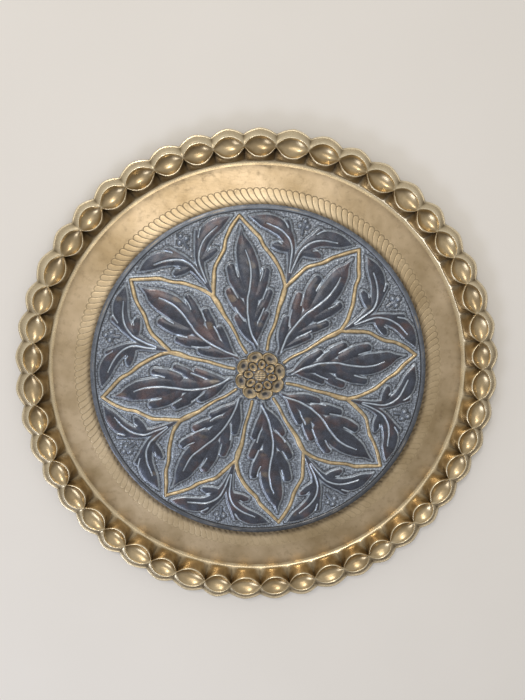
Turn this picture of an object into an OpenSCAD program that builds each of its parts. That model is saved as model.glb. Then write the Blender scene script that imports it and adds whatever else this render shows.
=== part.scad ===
// Round brass tray with a scalloped rim of dished lobes and a chased flower medallion.
// The tray lies on the XY plane with its open side up (+Z) and its centre on the Z axis.
// The sheet is divided at its visible bands, and every raised motif sits on the band below it.

/* [Tray] */
// Diameter over the outer tips of the lobes
tray_d = 516; // [490:1:620]
// Height from the underside of the floor to the top of the lobes
tray_h = 21; // [19:0.5:28]
// Thickness of the brass sheet
sheet_t = 1.2; // [0.8:0.1:1.5]

/* [Scalloped rim] */
// Number of dished lobes round the rim
lobe_count = 47; // [35:1:59]
// Distance from a lobe's outer tip in to the ring where neighbouring lobes pinch together
lobe_reach = 18.5; // [17:0.5:20]
// Radial width of the eye-shaped cup on top of each lobe
cup_w = 21; // [16:0.5:24]
// How far the middle of a cup stands in from the pinch ring
cup_shift = 0.5; // [0:0.1:1]
// Depth of the dish in each cup
cup_depth = 6.25; // [2:0.25:7]
// Distance from the pinch ring in to the foot of the wall, at the middle of a lobe
wall_run = 13; // [12.5:0.5:15]
// How far the crease between two lobes runs out from the foot by half the wall's height
facet_run = 9.5; // [6:0.5:10]
// Radius of the soft bend between floor and wall
cove_r = 4; // [3:0.25:6]
// Depth of the notch between two lobes along the outer edge
edge_notch = 6; // [2:0.5:7]
// Height of the rolled outer edge above the resting plane
edge_z = 14.5; // [10:0.5:15]

/* [Bands of the floor] */
// Outer diameter of the band of overlapping crescent marks
band_d = 400; // [390:1:410]
// Outer diameter of the medallion, over its border ring
medallion_d = 366; // [340:1:380]
// Width of the border ring
border_w = 6; // [4:0.5:10]
// Height of the border ring's low bead above the floor
border_h = 0.6; // [0.3:0.1:1]

/* [Flower] */
// Number of petals
petal_count = 8; // [6:1:10]
// Turn of the first petal away from +Y, anticlockwise
petal_turn = 11; // [0:1:44]
// Gap between a petal's tip and the border ring
tip_gap = 3.5; // [3:0.5:8]
// Radius of the ring of junctions where neighbouring petals meet
valley_r = 100; // [84:1:120]
// Width of the raised outline ribs
rib_w = 4; // [3:0.25:5]
// Height of the raised outline ribs
rib_h = 1.6; // [1:0.1:2.5]
// Gap between a leaf's longest lobes and the ribs round it
leaf_margin = 9; // [6:0.5:12]
// Sideways sway of a leaf's S-shaped middle
leaf_sway = 4.5; // [0:0.5:5]
// Depth of the notches between a leaf's lobes
leaf_notch = 7; // [3:0.5:9]
// Lobes along each side of a leaf
leaf_lobes = 5; // [4:1:6]
// Height of the raised leaves
leaf_h = 2; // [1:0.1:3]

/* [Sprays and corner flowers] */
// Greatest width of one half leaf of a spray
spray_w = 13; // [8:0.5:15]
// Gap between a spray and its neighbours
spray_gap = 2; // [1.5:0.25:3]
// Height of the sprays
spray_h = 1.6; // [1:0.1:2.5]
// Distance from the border ring in to the lower two balls of a corner flower
flower_inset = 10.5; // [9:0.5:13]
// Diameter of one ball of a corner flower
flower_ball_d = 5; // [3:0.25:6]
// Length of a corner flower's stalk
flower_stalk_l = 9; // [6:0.5:10]
// Width of a corner flower's stalk
flower_stalk_w = 1.6; // [1:0.1:2]

/* [Rosette] */
// Diameter of the rosette over its outer petals
rosette_d = 54; // [48:1:60]
// Turn of the outer petals from the flower's petals, anticlockwise
rosette_turn = 7; // [0:1:22]
// Diameter of the button at the centre
button_d = 14; // [10:0.5:18]
// Gap between the button, the inner petals and the outer petals
rosette_gap = 0.8; // [0.4:0.1:1.5]
// Radial length of the inner petals
inner_petal_l = 8; // [6:0.5:9]
// Height of the rosette
rosette_h = 2.4; // [1.5:0.1:3.5]

/* [Hidden] */

$fn = 96;
brass = "#B79A62";
worn_brass = "#C9B07A";
dark_patina = "#3A3E45";
leaf_patina = "#2E2C30";

// Steps of the curves, and the exponents that set how pointed an arch or a cup is.
lobe_steps = 6;
curve_steps = 14;
leaf_steps = 40;
station_count = lobe_count * lobe_steps;
edge_point = 1.6;
cup_point = 2.3;
petal_point = 0.9;

// Share of its width and depth that a cup keeps where two lobes pinch together.
pinch_share = 0.07;
// Share of the wall's run that is made by half its height, in the middle of a lobe.
low_wall = 0.3;
// Place of the point between a cup's lip and its middle, as a share of its half width.
bowl_at = 0.6;

// The rolled edge is an octagon whose flats are as wide as the sheet that it closes.
roll_d = sheet_t * (1 + sqrt(2));
pinch_r = tray_d / 2 - lobe_reach;
foot_r = pinch_r - wall_run;
floor_r = foot_r - cove_r;
edge_r = (tray_d - roll_d) / 2;
edge_top = edge_z + roll_d;

ground_r = medallion_d / 2 - border_w;
sector = 360 / petal_count;
tip_r = ground_r - tip_gap;
rosette_r = rosette_d / 2;
valley_x = valley_r * sin(sector / 2);
valley_y = valley_r * cos(sector / 2);
leaf_base = rosette_r + 2 * spray_gap;
leaf_tip = tip_r - 2 * leaf_margin;

// ---- Rim ---------------------------------------------------------------------------------

// 0 at the middle of a lobe and 1 at the crease between two lobes.
function crease(i) = abs(2 * (i % lobe_steps) / lobe_steps - 1);

// How much of its full width and depth a cup has at that place.
function fullness(c) = 1 - (1 - pinch_share) * pow(c, cup_point);

function edge_path(c) = edge_r - edge_notch * pow(c, edge_point);

// Visible side of the sheet, from the floor over the cup to the outer edge, as [radius, height].
// At a crease the wall leans out from its foot, which leaves a three-sided facet between two lobes.
function rim_face(c) =
    let (
        k = fullness(c),
        half = cup_w / 2 * k,
        middle = pinch_r - cup_shift * k,
        dip = cup_depth * k,
        wall = middle - half - foot_r,
        crease_out = c * c * (facet_run - low_wall * wall),
        bowl_z = tray_h - dip * (1 - bowl_at * bowl_at)
    )
    [
        [floor_r, sheet_t],
        [foot_r - cove_r / 3, sheet_t + cove_r / 8],
        [foot_r + facet_run / 3 * c * c, sheet_t + cove_r * 0.8],
        [foot_r + low_wall * wall + crease_out, (sheet_t + tray_h) / 2],
        [middle - half, tray_h],
        [middle - half * bowl_at, bowl_z],
        [middle, tray_h - dip],
        [middle + half * bowl_at, bowl_z],
        [middle + half, tray_h],
        [edge_path(c) + sheet_t / 2, edge_top]
    ];

// Place one sheet below a point of the cup, kept on the point's own side of the pinch ring.
function below(p) =
    let (off = p[0] - pinch_r)
    [pinch_r + off - sign(off) * min(sheet_t, abs(off) / 2), p[1] - 1.3 * sheet_t];

// Hidden side, from the outer edge back to the floor.
function rim_back(c) =
    let (face = rim_face(c))
    concat(
        [[face[9][0] - sheet_t, edge_top]],
        [for (j = [8:-1:4]) below(face[j])],
        [[face[3][0] + sheet_t, face[3][1]]],
        [[face[2][0] + 0.8 * sheet_t, face[2][1] - 0.6 * sheet_t]],
        [[face[1][0] + 0.3 * sheet_t, 0]],
        [[floor_r, 0]]
    );

function roll_profile(c) =
    [for (j = [0:7])
        let (a = 112.5 - 45 * j, r = roll_d / 2 / cos(22.5))
        [edge_path(c) + r * cos(a), edge_z + roll_d / 2 + r * sin(a)]];

// Closed ring through one [radius, height] profile per station round the Z axis.
module ring_of(profiles) {
    n = len(profiles);
    m = len(profiles[0]);
    points = [for (i = [0:n - 1], p = profiles[i])
        let (a = 90 + 360 * i / n)
        [p[0] * cos(a), p[0] * sin(a), p[1]]];
    faces = [for (i = [0:n - 1], j = [0:m - 1])
        let (here = i * m, next = (i + 1) % n * m, up = (j + 1) % m)
        for (f = [[here + j, next + j, next + up], [here + j, next + up, here + up]]) f];
    polyhedron(points, faces, convexity = 8);
}

module scalloped_rim() {
    color(brass)
        ring_of([for (i = [0:station_count - 1]) let (c = crease(i)) concat(rim_face(c), rim_back(c))]);
}

module rolled_edge() {
    color(worn_brass)
        ring_of([for (i = [0:station_count - 1]) roll_profile(crease(i))]);
}

// ---- Bands of the floor ------------------------------------------------------------------

module flat_band(outer_r, inner_r) {
    difference() {
        cylinder(r = outer_r, h = sheet_t);
        translate([0, 0, -1])
            cylinder(r = inner_r, h = sheet_t + 2);
    }
}

module plain_floor() {
    color(brass)
        flat_band(floor_r, band_d / 2);
}

module chased_band() {
    color(worn_brass)
        flat_band(band_d / 2, medallion_d / 2);
}

module border_ring() {
    color(dark_patina)
        rotate_extrude()
            polygon([
                [ground_r, 0],
                [medallion_d / 2, 0],
                [medallion_d / 2, sheet_t],
                [medallion_d / 2 - border_w / 3, sheet_t + border_h],
                [ground_r + border_w / 3, sheet_t + border_h],
                [ground_r, sheet_t]
            ]);
}

module medallion_ground() {
    color(dark_patina)
        cylinder(r = ground_r, h = sheet_t);
}

// ---- Flower ------------------------------------------------------------------------------

module on_ground() {
    translate([0, 0, sheet_t])
        children();
}

module at_petal(k) {
    rotate([0, 0, petal_turn + (k - 1) * sector])
        children();
}

// Unit vector to the left of a path at its point i.
function left_of(path, i) =
    let (d = path[min(i + 1, len(path) - 1)] - path[max(i - 1, 0)])
    [-d[1], d[0]] / norm(d);

// Closed outline between two lines beside a path, at the distances a[i] and b[i] to its left.
function beside(path, a, b) =
    let (last = len(path) - 1)
    concat(
        [for (i = [0:last]) path[i] + a[i] * left_of(path, i)],
        [for (i = [last:-1:0]) path[i] + b[i] * left_of(path, i)]
    );

// Half width of a petal at height y: a cosine arch above its valleys, its sector below them.
function petal_half(y) =
    y < valley_y
        ? y * tan(sector / 2)
        : valley_x * pow(cos(90 * min(1, (y - valley_y) / (tip_r - valley_y))), petal_point);

// One side of a petal from its valley to its tip: side is -1 for left and 1 for right.
function petal_side(side) =
    [for (i = [0:curve_steps])
        let (y = valley_y + (tip_r - valley_y) * i / curve_steps)
        [side * petal_half(y), y]];

module petal_rib() {
    right = petal_side(1);
    path = concat(petal_side(-1), [for (i = [curve_steps - 1:-1:0]) right[i]]);
    half = [for (p = path) rib_w / 2];
    linear_extrude(height = rib_h)
        polygon(beside(path, half, -half));
}

// Rib from the rosette out to a valley, widening where the two petals part.
module valley_rib() {
    inner = rosette_r + spray_gap / 2;
    path = [for (i = [0:curve_steps]) [0, inner + (valley_r - inner) * i / curve_steps]];
    half = [for (i = [0:curve_steps]) rib_w / 2 * (0.8 + 0.6 * pow(i / curve_steps, 3))];
    linear_extrude(height = rib_h)
        polygon(beside(path, half, -half));
}

module petal_outlines() {
    color(worn_brass)
        on_ground()
            union()
                for (k = [1:petal_count])
                    at_petal(k) {
                        petal_rib();
                        rotate([0, 0, sector / 2])
                            valley_rib();
                    }
}

// Half width of a leaf at t from base (0) to tip (1), with its lobes shifted by phase.
function leaf_half(t, phase) =
    let (
        y = leaf_base + t * (leaf_tip - leaf_base),
        room = petal_half(y) - rib_w / 2 - leaf_margin * min(1, 0.4 + t),
        notch = leaf_notch * pow(1 - abs(sin(180 * (leaf_lobes * t + phase))), 2)
    )
    max(0.6, min(room, (1 - t) * leaf_tip / 2) - notch * sin(180 * t) - leaf_sway * sin(180 * t) / 2);

function leaf_outline() =
    let (
        middle = function (t) [-leaf_sway * sin(360 * t), leaf_base + t * (leaf_tip - leaf_base)]
    )
    concat(
        [for (i = [0:leaf_steps]) let (t = i / leaf_steps) middle(t) - [leaf_half(t, 0.5), 0]],
        [for (i = [leaf_steps:-1:0]) let (t = i / leaf_steps) middle(t) + [leaf_half(t, 0), 0]]
    );

module leaf(k) {
    color(leaf_patina)
        on_ground()
            at_petal(k)
                linear_extrude(height = leaf_h)
                    polygon(leaf_outline());
}

// ---- Sprays and corner flowers -----------------------------------------------------------

// Half leaf that hugs the outside of a petal: side is -1 for the petal's left and 1 for its right.
module half_spray(side) {
    path = [for (i = [2:curve_steps - 3]) petal_side(side)[i]];
    last = len(path) - 1;
    near = rib_w / 2 + spray_gap;
    centre_line = [side * sin(sector / 2), cos(sector / 2)];
    far = [for (i = [0:last])
        let (p = path[i], to_line = abs(p[0] * centre_line[1] - p[1] * centre_line[0]))
        max(near + 0.6, min(near + spray_w * sin(180 * (i + 0.5) / (last + 1)), to_line - spray_gap))];
    linear_extrude(height = spray_h)
        polygon(beside(path, -side * [for (p = path) near], -side * far));
}

module spray(k) {
    color(leaf_patina)
        on_ground() {
            at_petal(k)
                half_spray(-1);
            at_petal(k + 1)
                half_spray(1);
        }
}

// Three balls at the outer end of a stalk that springs from between two half leaves.
module corner_flower() {
    side = flower_ball_d * 0.45;
    up = side * sqrt(3);
    linear_extrude(height = spray_h / 2)
        translate([-flower_stalk_w / 2, -flower_stalk_l])
            square([flower_stalk_w, flower_stalk_l]);
    for (p = [[-side, 0], [side, 0], [0, up]])
        translate([p[0], p[1], 0])
            cylinder(d = flower_ball_d, h = spray_h);
}

module corner_flowers() {
    color(dark_patina)
        on_ground()
            for (k = [1:petal_count])
                at_petal(k + 0.5)
                    translate([0, ground_r - flower_inset, 0])
                        corner_flower();
}

// ---- Rosette -----------------------------------------------------------------------------

// Ring of lens-shaped petals that fills the room between two radii.
module petal_ring(inner_r, outer_r, height, turn) {
    length = outer_r - inner_r;
    room = 2 * inner_r * tan(sector / 2) - rosette_gap;
    width = min(0.75 * length, room + length / 4);
    arc_r = (length * length + width * width) / (4 * width);
    for (k = [1:petal_count])
        at_petal(k)
            rotate([0, 0, turn])
                translate([0, (inner_r + outer_r) / 2, 0])
                    intersection() {
                        translate([arc_r - width / 2, 0, 0])
                            cylinder(r = arc_r, h = height);
                        translate([width / 2 - arc_r, 0, 0])
                            cylinder(r = arc_r, h = height);
                    }
}

inner_ring_start = button_d / 2 + rosette_gap;
inner_ring_end = inner_ring_start + inner_petal_l;
outer_ring_start = inner_ring_end + rosette_gap;

module rosette_outer() {
    color(worn_brass)
        on_ground()
            petal_ring(outer_ring_start, rosette_r, rosette_h * 0.7, rosette_turn);
}

module rosette_inner() {
    color(brass)
        on_ground()
            petal_ring(inner_ring_start, inner_ring_end, rosette_h * 0.85, rosette_turn - sector / 2);
}

module rosette_button() {
    color(worn_brass)
        on_ground()
            cylinder(d = button_d, h = rosette_h);
}

plain_floor();
chased_band();
border_ring();
medallion_ground();
petal_outlines();
for (k = [1:petal_count]) {
    leaf(k);
    spray(k);
}
corner_flowers();
rosette_outer();
rosette_inner();
rosette_button();
scalloped_rim();
rolled_edge();
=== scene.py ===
"""Round brass tray with a scalloped rim of dished lobes and a darkened, chased flower medallion.

The whole tray is one beaten sheet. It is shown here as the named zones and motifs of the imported
model: every visible surface is a thin closed sheet worked out with numpy in millimetres and
written into its mesh in metres. The tray lies on z = 0 with its open side up, and lobes and
petals are counted anticlockwise from +Y.
"""
import enum
import logging
import math
from dataclasses import dataclass, field
from typing import Callable, Sequence

import bpy
import numpy as np
from mathutils import Matrix, Vector


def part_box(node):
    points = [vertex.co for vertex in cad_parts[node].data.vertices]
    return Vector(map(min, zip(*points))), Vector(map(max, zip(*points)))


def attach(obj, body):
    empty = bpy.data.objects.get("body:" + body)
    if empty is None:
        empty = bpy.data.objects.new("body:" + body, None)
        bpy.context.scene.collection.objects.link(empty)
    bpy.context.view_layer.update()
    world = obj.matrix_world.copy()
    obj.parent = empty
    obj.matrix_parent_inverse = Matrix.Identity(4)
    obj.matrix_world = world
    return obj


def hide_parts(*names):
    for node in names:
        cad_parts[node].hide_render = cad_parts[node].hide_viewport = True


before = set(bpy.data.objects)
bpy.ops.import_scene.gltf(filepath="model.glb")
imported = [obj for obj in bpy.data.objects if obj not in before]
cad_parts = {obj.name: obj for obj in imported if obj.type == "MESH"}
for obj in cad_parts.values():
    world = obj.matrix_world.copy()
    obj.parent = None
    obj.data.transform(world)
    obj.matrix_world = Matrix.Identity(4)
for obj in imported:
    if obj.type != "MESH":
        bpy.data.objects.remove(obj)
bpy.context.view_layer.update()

MM = 0.001
LOG = logging.getLogger("brass_tray")

Array = np.ndarray
Socket = bpy.types.NodeSocket
Point = tuple[float, float]
Sized = tuple[float, float, float]


# ---- Small numeric tools --------------------------------------------------------------------


def smooth(x: Array, low: float, high: float) -> Array:
    """Soft step: 0 below low, 1 above high, and the cubic 3t^2 - 2t^3 between them.

    Args:
        x: values to step.
        low: where the step starts.
        high: where the step ends.

    Returns:
        Array of the shape of x, from 0 to 1.
    """
    t = np.clip((x - low) / (high - low), 0.0, 1.0)
    return t * t * (3.0 - 2.0 * t)


def ridge(distance: Array, half_width: float) -> Array:
    """Bell of height 1 round distance 0: exp(-(distance / half_width)^2)."""
    return np.exp(-np.square(distance / half_width))


def wander(x: Array, y: Array, size: float, seed: int, waves: int = 7) -> Array:
    """Smooth hand-made unevenness: a sum of sine waves in random directions.

    Args:
        x: places in millimetres.
        y: places in millimetres.
        size: typical width of a bump in millimetres.
        seed: number that picks this particular unevenness.
        waves: how many sine waves are summed.

    Returns:
        Array of about -1 to 1.
    """
    rng = np.random.default_rng(seed)
    total = np.zeros_like(x, dtype=float)
    for _ in range(waves):
        angle, phase = rng.uniform(0.0, 2.0 * math.pi, 2)
        rate = math.pi / size * rng.uniform(0.6, 1.4)
        total += np.sin(rate * (x * math.cos(angle) + y * math.sin(angle)) + phase)
    return total / math.sqrt(waves) / 1.3


def punched(x: Array, y: Array, pitch: float, seed: int, punch_share: float = 0.62) -> Array:
    """Marks of a round-nosed punch, one per cell of a grid and each moved by chance in its cell.

    The mark is 1 - (distance to the nearest mark / radius)^2, cut off at 0.

    Args:
        x: places in millimetres.
        y: places in millimetres.
        pitch: distance between marks in millimetres.
        seed: number that picks the places of the marks.
        punch_share: radius of a mark as a share of the pitch.

    Returns:
        Array from 0 (between marks) to 1 (middle of a mark).
    """
    side = 512
    rng = np.random.default_rng(seed)
    moved = rng.uniform(0.15, 0.85, (2, side, side))
    column, row = np.floor(x / pitch).astype(int), np.floor(y / pitch).astype(int)
    nearest = np.full(x.shape, 9.0)
    for dx in (-1, 0, 1):
        for dy in (-1, 0, 1):
            i, j = (column + dx) % side, (row + dy) % side
            px = (column + dx + moved[0, i, j]) * pitch - x
            py = (row + dy + moved[1, i, j]) * pitch - y
            nearest = np.minimum(nearest, (px * px + py * py) / (punch_share * pitch) ** 2)
    return np.clip(1.0 - nearest, 0.0, 1.0)


def curve_weights(knots: int, per_span: Sequence[int]) -> Array:
    """Weights that carry a smooth curve through a row of knots (Catmull-Rom).

    Args:
        knots: number of knots.
        per_span: how many points each span between two knots gets.

    Returns:
        Matrix of one row per curve point and one column per knot; the last knot is the last row.
    """
    rows = []
    for span, count in enumerate(per_span):
        for t in np.arange(count) / count:
            row = np.zeros(knots)
            parts = (
                (-t + 2 * t**2 - t**3) / 2,
                (2 - 5 * t**2 + 3 * t**3) / 2,
                (t + 4 * t**2 - 3 * t**3) / 2,
                (t**3 - t**2) / 2,
            )
            for offset, part in zip((-1, 0, 1, 2), parts):
                row[min(max(span + offset, 0), knots - 1)] += part
            rows.append(row)
    last = np.zeros(knots)
    last[-1] = 1.0
    return np.array(rows + [last])


@dataclass(frozen=True)
class Stroke:
    """Smooth line with a width that changes along it: each knot is x, y and half width, in mm."""

    knots: tuple[Sized, ...]
    per_span: int = 4

    def turned(self, degrees: float) -> "Stroke":
        """The same stroke turned clockwise about the origin."""
        c, s = math.cos(math.radians(degrees)), math.sin(math.radians(degrees))
        return Stroke(tuple((x * c + y * s, y * c - x * s, w) for x, y, w in self.knots), self.per_span)

    def distance(self, x: Array, y: Array) -> Array:
        """Distance to the stroke's outline, negative inside it.

        For each short straight piece it is the distance to the nearest point of the piece less
        the half width there, and the least over all pieces counts.

        Args:
            x: places in millimetres.
            y: places in millimetres.

        Returns:
            Array of the shape of x, in millimetres.
        """
        path = curve_weights(len(self.knots), [self.per_span] * (len(self.knots) - 1)) @ np.array(self.knots)
        least = np.full(x.shape, 1e3)
        for (ax, ay, aw), (bx, by, bw) in zip(path[:-1], path[1:]):
            dx, dy = bx - ax, by - ay
            t = np.clip(((x - ax) * dx + (y - ay) * dy) / (dx * dx + dy * dy + 1e-9), 0.0, 1.0)
            away = np.hypot(x - ax - t * dx, y - ay - t * dy) - (aw + t * (bw - aw))
            least = np.minimum(least, away)
        return least


def line(*places: Point, half: float = 0.0) -> Stroke:
    """Stroke of one width through places, for a chased vein."""
    return Stroke(tuple((x, y, half) for x, y in places), 3)


def swell(distance: Array, reach: float) -> Array:
    """Cushion-like rise inside an outline: 1 - (1 - depth / reach)^2, and 0 outside it."""
    t = np.clip(-distance / reach, 0.0, 1.0)
    return 1.0 - np.square(1.0 - t)


# ---- Meshes ---------------------------------------------------------------------------------


@dataclass
class Skin:
    """Points, faces and painted values of one closed piece, in millimetres."""

    points: Array
    faces: Array
    values: dict[str, Array] = field(default_factory=dict)

    def outward(self) -> "Skin":
        """The same skin with its faces turned outward, by the sign of its volume."""
        a, b, c = (self.points[self.faces[:, i]] for i in range(3))
        if np.einsum("ij,ij->i", a, np.cross(b, c)).sum() < 0:
            self.faces = self.faces[:, ::-1]
        return self


def ring_skin(points: Array, values: dict[str, Array]) -> Skin:
    """Closes a grid of points in both directions, as a tube bent into a ring.

    Args:
        points: array of stations x profile points x 3, in millimetres.
        values: painted values, each of stations x profile points.

    Returns:
        The closed skin, made of four-sided faces.
    """
    stations, ring = points.shape[:2]
    index = np.arange(stations * ring).reshape(stations, ring)
    up, on = np.roll(index, -1, axis=1), np.roll(index, -1, axis=0)
    both = np.roll(on, -1, axis=1)
    faces = np.stack([index, on, both, up], axis=-1).reshape(-1, 4)
    flat = {name: value.reshape(-1) for name, value in values.items()}
    return Skin(points.reshape(-1, 3), faces, flat).outward()


def sheet_skin(top: Array, bottom: Array, faces: Array, values: dict[str, Array]) -> Skin:
    """Closes a cut-out part of a sheet with its underside and a wall round its edge.

    Args:
        top: upper points of the whole sheet.
        bottom: lower points of the whole sheet, one under each upper point.
        faces: triangles of the cut-out part, anticlockwise from above, as indices of points.
        values: painted values, one per point of the whole sheet.

    Returns:
        The closed skin of the part.
    """
    used, local = np.unique(faces, return_inverse=True)
    tris = local.reshape(-1, 3)
    count = len(used)
    edges = np.concatenate([tris[:, [0, 1]], tris[:, [1, 2]], tris[:, [2, 0]]])
    key = np.sort(edges, axis=1) @ np.array([count, 1])
    _, first, times = np.unique(key, return_index=True, return_counts=True)
    rim = edges[first[times == 1]]
    wall = np.concatenate([
        np.stack([rim[:, 1], rim[:, 0], rim[:, 0] + count], axis=1),
        np.stack([rim[:, 1], rim[:, 0] + count, rim[:, 1] + count], axis=1),
    ])
    skin_faces = np.concatenate([tris, tris[:, ::-1] + count, wall])
    points = np.concatenate([top[used], bottom[used]])
    painted = {name: np.tile(value[used], 2) for name, value in values.items()}
    return Skin(points, skin_faces, painted)


def build_piece(name: str, skin: Skin, material: bpy.types.Material,
                stands_for: Sequence[str], crease: float = 48.0) -> bpy.types.Object:
    """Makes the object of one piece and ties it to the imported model.

    Args:
        name: the piece's name.
        skin: its closed mesh in millimetres.
        material: its finish.
        stands_for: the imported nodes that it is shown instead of.
        crease: faces that meet at more than this angle, in degrees, keep a sharp edge.

    Returns:
        The finished object, at the origin.
    """
    mesh = bpy.data.meshes.new(name)
    count, sides = skin.faces.shape
    mesh.vertices.add(len(skin.points))
    mesh.vertices.foreach_set("co", (skin.points * MM).astype(np.float32).ravel())
    mesh.loops.add(count * sides)
    mesh.loops.foreach_set("vertex_index", skin.faces.astype(np.int32).ravel())
    mesh.polygons.add(count)
    mesh.polygons.foreach_set("loop_start", np.arange(0, count * sides, sides, dtype=np.int32))
    mesh.update(calc_edges=True)
    mesh.polygons.foreach_set("use_smooth", np.ones(count, dtype=bool))
    for key, value in skin.values.items():
        layer = mesh.attributes.new(key, "FLOAT", "POINT")
        layer.data.foreach_set("value", np.clip(value, 0.0, 1.0).astype(np.float32))
    mesh.validate()
    mesh.set_sharp_from_angle(angle=math.radians(crease))
    piece = bpy.data.objects.new(name, mesh)
    bpy.context.scene.collection.objects.link(piece)
    mesh.materials.append(material)
    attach(piece, "root")
    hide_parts(*stands_for)
    LOG.info("%s: %d faces of %d sides", name, count, sides)
    return piece


# ---- Finishes -------------------------------------------------------------------------------


def linear(hex_colour: str) -> tuple[float, float, float, float]:
    """Linear colour of an sRGB hex value such as #B79A62."""
    parts = [int(hex_colour[i:i + 2], 16) / 255.0 for i in (1, 3, 5)]
    return (*[p / 12.92 if p <= 0.04045 else ((p + 0.055) / 1.055) ** 2.4 for p in parts], 1.0)


def add(tree: bpy.types.NodeTree, kind: str, inputs: dict | None = None,
        **settings: object) -> bpy.types.Node:
    """Adds one node with its settings, values and links.

    Args:
        tree: the material's node tree.
        kind: the node's type name without its ShaderNode prefix.
        inputs: value or linked socket for each input, by name or number.
        settings: the node's own settings.

    Returns:
        The new node.
    """
    node = tree.nodes.new("ShaderNode" + kind)
    for key, value in settings.items():
        setattr(node, key, value)
    for key, value in (inputs or {}).items():
        if isinstance(value, bpy.types.NodeSocket):
            tree.links.new(value, node.inputs[key])
        else:
            node.inputs[key].default_value = value
    return node


def per_metre(size: float) -> float:
    """Scale of a noise whose blotches are this wide, in millimetres."""
    return 1.0 / (size * MM)


MIX_A, MIX_B, MIX_OUT = 6, 7, 2


def blend(tree: bpy.types.NodeTree, amount: Socket | float, first: Socket | tuple,
          second: Socket | tuple) -> Socket:
    """Colour that goes from first to second as amount goes from 0 to 1."""
    node = add(tree, "Mix", {0: amount, MIX_A: first, MIX_B: second}, data_type="RGBA")
    return node.outputs[MIX_OUT]


def spread(tree: bpy.types.NodeTree, value: Socket, low: float, high: float,
           to_low: float = 0.0, to_high: float = 1.0) -> Socket:
    """Value taken from the range low to high onto the range to_low to to_high, and held there."""
    node = add(tree, "MapRange", {"Value": value, "From Min": low, "From Max": high,
                                  "To Min": to_low, "To Max": to_high})
    return node.outputs[0]


def painted(tree: bpy.types.NodeTree, name: str) -> Socket:
    """Value that the piece's points carry under that name."""
    return add(tree, "Attribute", attribute_name=name).outputs["Fac"]


def noise(tree: bpy.types.NodeTree, place: Socket, size: float, detail: float = 3.0,
          rough: float = 0.5) -> Socket:
    """Cloudy pattern of blotches of that size in millimetres, from 0 to 1."""
    node = add(tree, "TexNoise", {"Vector": place, "Scale": per_metre(size), "Detail": detail,
                                  "Roughness": rough})
    return node.outputs[0]


def start_finish(name: str) -> tuple[bpy.types.Material, bpy.types.NodeTree, bpy.types.Node, Socket]:
    """Starts a material: returns it with its node tree, its shader and the place on the object."""
    material = bpy.data.materials.new(name)
    material.use_nodes = True
    tree = material.node_tree
    return material, tree, tree.nodes["Principled BSDF"], add(tree, "TexCoord").outputs["Object"]


@dataclass(frozen=True)
class AgedBrass:
    """Brass sheet, beaten and hand-rubbed, with painted shade in its hollows and painted highlights, partly
    real rubbing, on its lips.

    The eye sees a warm metal with cloudy tarnish some centimetres wide, fine wiping scratches in
    many directions and small dark spots.
    """

    name: str = "aged_brass"
    gold: str = "#CFBB9D"
    brown: str = "#A69272"
    tarnish: str = "#78684F"
    # colour of dirt and of painted shade
    grime: str = "#2A221B"
    # colour of rubbed brass and of the painted highlights on lips, apron, cove and rolled edge
    bright: str = "#F3E6C8"
    roughness: float = 0.34
    cloud: float = 70.0
    spot: float = 7.0
    scratch: float = 1.1
    scratch_length: float = 12.0
    tarnish_share: float = 0.55
    grain: float = 0.35

    def build(self) -> bpy.types.Material:
        """Makes the material: cloudy brass, tarnish spots, dirt and painted shade, rubbed brass and painted
        highlights, scratches.
        """
        material, tree, shader, place = start_finish(self.name)
        cloud = spread(tree, noise(tree, place, self.cloud, 4.0, 0.6), 0.35, 0.65)
        colour = blend(tree, cloud, linear(self.gold), linear(self.brown))
        spots = spread(tree, noise(tree, place, self.spot, 9.0, 0.72), 0.52, 0.78, 0.0, self.tarnish_share)
        colour = blend(tree, spots, colour, linear(self.tarnish))
        worn = spread(tree, noise(tree, place, self.spot / 2.0, 5.0, 0.6), 0.3, 0.7, 0.75, 1.1)
        # rubbed brass and painted highlights in the bright colour
        rub = add(tree, "Math", {0: painted(tree, "rub"), 1: worn}, operation="MULTIPLY", use_clamp=True)
        colour = blend(tree, rub.outputs[0], colour, linear(self.bright))
        # dirt and painted shade in the dark colour
        dirt_and_shade = add(tree, "Math", {0: painted(tree, "grime"), 1: worn}, operation="MULTIPLY", use_clamp=True)
        colour = blend(tree, dirt_and_shade.outputs[0], colour, linear(self.grime))
        scratches = self.scratched(tree, place)
        dull = add(tree, "Math", {0: spots, 1: dirt_and_shade.outputs[0]}, operation="MAXIMUM")
        rough = spread(tree, dull.outputs[0], 0.0, 1.0, self.roughness, self.roughness + 0.26)
        rough = add(tree, "Math", {0: scratches, 1: 0.14, 2: rough}, operation="MULTIPLY_ADD")
        bump = add(tree, "Bump", {"Height": scratches, "Strength": self.grain, "Distance": 0.05 * MM})
        grain = noise(tree, place, 2.4, 4.0, 0.6)
        bump = add(tree, "Bump", {"Height": grain, "Strength": self.grain, "Distance": 0.12 * MM,
                                  "Normal": bump.outputs[0]})
        shader.inputs["Metallic"].default_value = 1.0
        tree.links.new(colour, shader.inputs["Base Color"])
        tree.links.new(rough.outputs[0], shader.inputs["Roughness"])
        tree.links.new(bump.outputs[0], shader.inputs["Normal"])
        return material

    def scratched(self, tree: bpy.types.NodeTree, place: Socket) -> Socket:
        """Wiping scratches: noise drawn out into long streaks along three directions."""
        total: Socket | float = 0.0
        for turn in (0.3, 1.35, 2.5):
            along = add(tree, "Mapping", {"Vector": place, "Rotation": (0.0, 0.0, turn),
                                          "Scale": (1.0, self.scratch_length, 1.0)})
            streaks = noise(tree, along.outputs[0], self.scratch * self.scratch_length, 3.0, 0.7)
            lines = spread(tree, streaks, 0.55, 0.8)
            total = add(tree, "Math", {0: lines, 1: total}, operation="MAXIMUM").outputs[0]
        return total


class Darkening(enum.Enum):
    """How far a part of the medallion was blackened and rubbed back."""

    GROUND = "matted_patina"
    LEAF = "leaf_patina"
    RELIEF = "relief_brass"


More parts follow.
